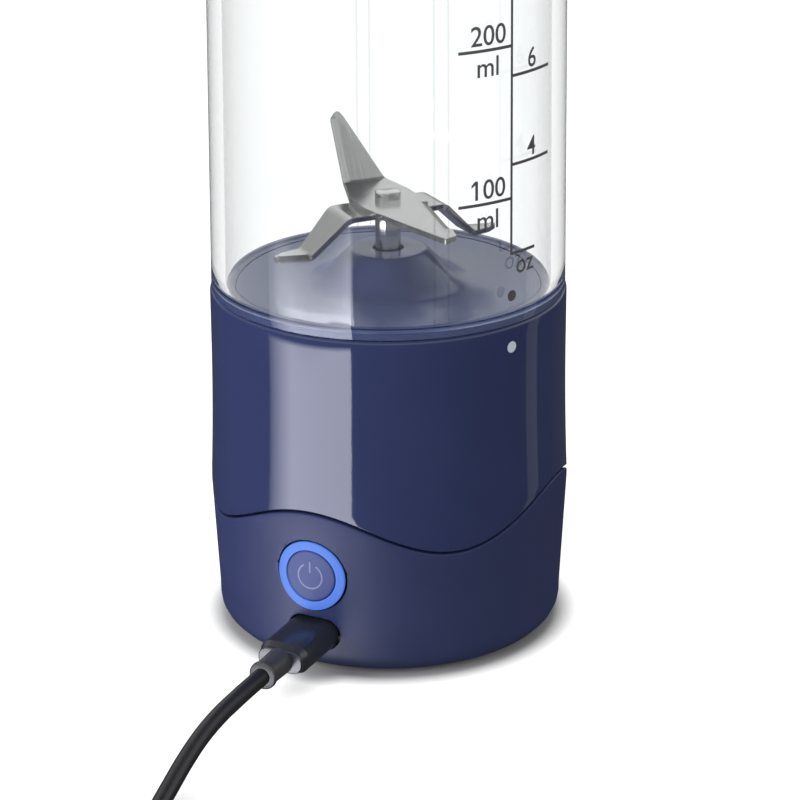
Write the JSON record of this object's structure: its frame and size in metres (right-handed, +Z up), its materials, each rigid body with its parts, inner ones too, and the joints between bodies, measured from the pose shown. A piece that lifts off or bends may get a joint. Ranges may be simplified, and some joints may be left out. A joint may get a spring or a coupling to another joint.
{
  "type": "portable blender",
  "caption": "Rechargeable portable blender: motor base with crossed blades, screw-on clear vessel, drinking lid with flip cap and carry loop, and a plugged-in charging lead.",
  "frame": {"origin": "centre of the base's underside, on the table", "axes": "+Z up along the blade shaft; the button and the charging port face -Y; +X is to the right seen from the button side"},
  "size_m": [0.0767, 0.2037, 0.2073],
  "materials": {
    "navy_gloss": "glossy moulded ABS, navy blue",
    "navy_satin": "satin moulded ABS, navy blue",
    "foot_rubber": "matt black rubber",
    "silicone": "translucent pale silicone",
    "fastener_steel": "zinc-plated steel",
    "inner_plastic": "dark glass-filled nylon",
    "can_steel": "nickel-plated pressed steel",
    "magnet": "dark ferrite, lacquered",
    "bronze": "sintered bronze and copper",
    "shaft_steel": "ground and polished stainless steel",
    "blade_steel": "brushed stainless steel with ground edges",
    "cell_wrap": "shrink-wrapped cells",
    "board": "green solder mask",
    "light_plastic": "lit blue diffuser",
    "lead_wire": "red insulated wire",
    "clear_plastic": "clear copolyester, polished",
    "plug_plastic": "fine-textured black overmould",
    "neck_plastic": "grey moulded strain relief",
    "cord_jacket": "smooth black cord jacket",
    "tie_fabric": "black hook-and-loop strap"
  },
  "bodies": {
    "base": {"lower_shell": "navy_satin", "upper_shell": "navy_gloss", "bottom_cover": "navy_satin", "foot_ring": "foot_rubber", "cover_screws": "fastener_steel", "blade_deck": "navy_satin", "chassis": "inner_plastic", "chassis_screws": "fastener_steel", "motor_can": "can_steel", "motor_end_cap": "inner_plastic", "motor_magnets": "magnet", "motor_screws": "fastener_steel", "shaft_bush": "bronze", "shaft_seal": "foot_rubber", "cell_left": "cell_wrap", "cell_right": "cell_wrap", "cell_links": "can_steel", "cell_pads": "foot_rubber", "main_board": "board", "board_parts": "inner_plastic", "usb_socket": "can_steel", "button_board": "board", "switch_body": "inner_plastic", "ring_lights": "light_plastic", "light_ring": "light_plastic", "lock_sensor": "board", "motor_leads": "lead_wire"},
    "rotor": {"armature": "bronze", "shaft_coupling": "shaft_steel", "blade_shaft": "shaft_steel", "lower_blade": "blade_steel", "upper_blade": "blade_steel"},
    "button": {"power_button": "navy_satin", "switch_plunger": "bronze"},
    "neck_ring": {"neck_gasket": "silicone"},
    "vessel": {"vessel": "clear_plastic", "lock_magnet": "magnet"},
    "lid_ring": {"lid_gasket": "silicone"},
    "lid": {"lid": "navy_gloss", "loop_pins": "fastener_steel", "cap_pin": "fastener_steel"},
    "cap": {"flip_cap": "navy_gloss", "cap_plug": "silicone"},
    "loop": {"carry_loop": "navy_gloss"},
    "lead": {"usb_plug": "plug_plastic", "usb_plug_tip": "can_steel", "plug_neck": "neck_plastic", "cord": "cord_jacket", "cord_coil": "cord_jacket", "cord_tail": "cord_jacket", "far_neck": "neck_plastic", "far_plug": "plug_plastic", "far_plug_shell": "can_steel", "cable_tie": "tie_fabric"}
  },
  "joints": [
    {"name": "blade_spin", "type": "hinge", "parent": "base", "child": "rotor", "pos_m": [0, 0, 0.07], "axis": [0, 0, 1], "continuous": true},
    {"name": "button_press", "type": "slide", "parent": "base", "child": "button", "axis": [0, 1, 0], "range_m": [0, 0.0005], "stiffness_N_per_m": 400, "springref_m": -0.001},
    {"name": "vessel_lift", "type": "slide", "parent": "base", "child": "neck_ring", "axis": [0, 0, 1], "range_m": [0, 0.01201]},
    {"name": "vessel_turn", "type": "hinge", "parent": "neck_ring", "child": "vessel", "pos_m": [0, 0, 0.0715], "axis": [0, 0, 1], "range_deg": [0, 360]},
    {"name": "lid_lift", "type": "slide", "parent": "vessel", "child": "lid_ring", "axis": [0, 0, 1], "range_m": [0, 0.01201]},
    {"name": "lid_turn", "type": "hinge", "parent": "lid_ring", "child": "lid", "pos_m": [0, 0, 0.19], "axis": [0, 0, 1], "range_deg": [0, 360]},
    {"name": "cap_flip", "type": "hinge", "parent": "lid", "child": "cap", "pos_m": [0, -0.0049, 0.2023], "axis": [-1, 0, 0], "range_deg": [0, 110]},
    {"name": "loop_swing", "type": "hinge", "parent": "lid", "child": "loop", "pos_m": [0, 0, 0.1974], "axis": [1, 0, 0], "range_deg": [0, 95]},
    {"name": "plug_pull", "type": "slide", "parent": "base", "child": "lead", "axis": [0, -1, 0], "range_m": [0, 0.03]}
  ],
  "couplings": [
    {"joint": "vessel_lift", "follows": "vessel_turn", "m_per_rad": 0.0019099},
    {"joint": "lid_lift", "follows": "lid_turn", "m_per_rad": 0.0019099}
  ]
}
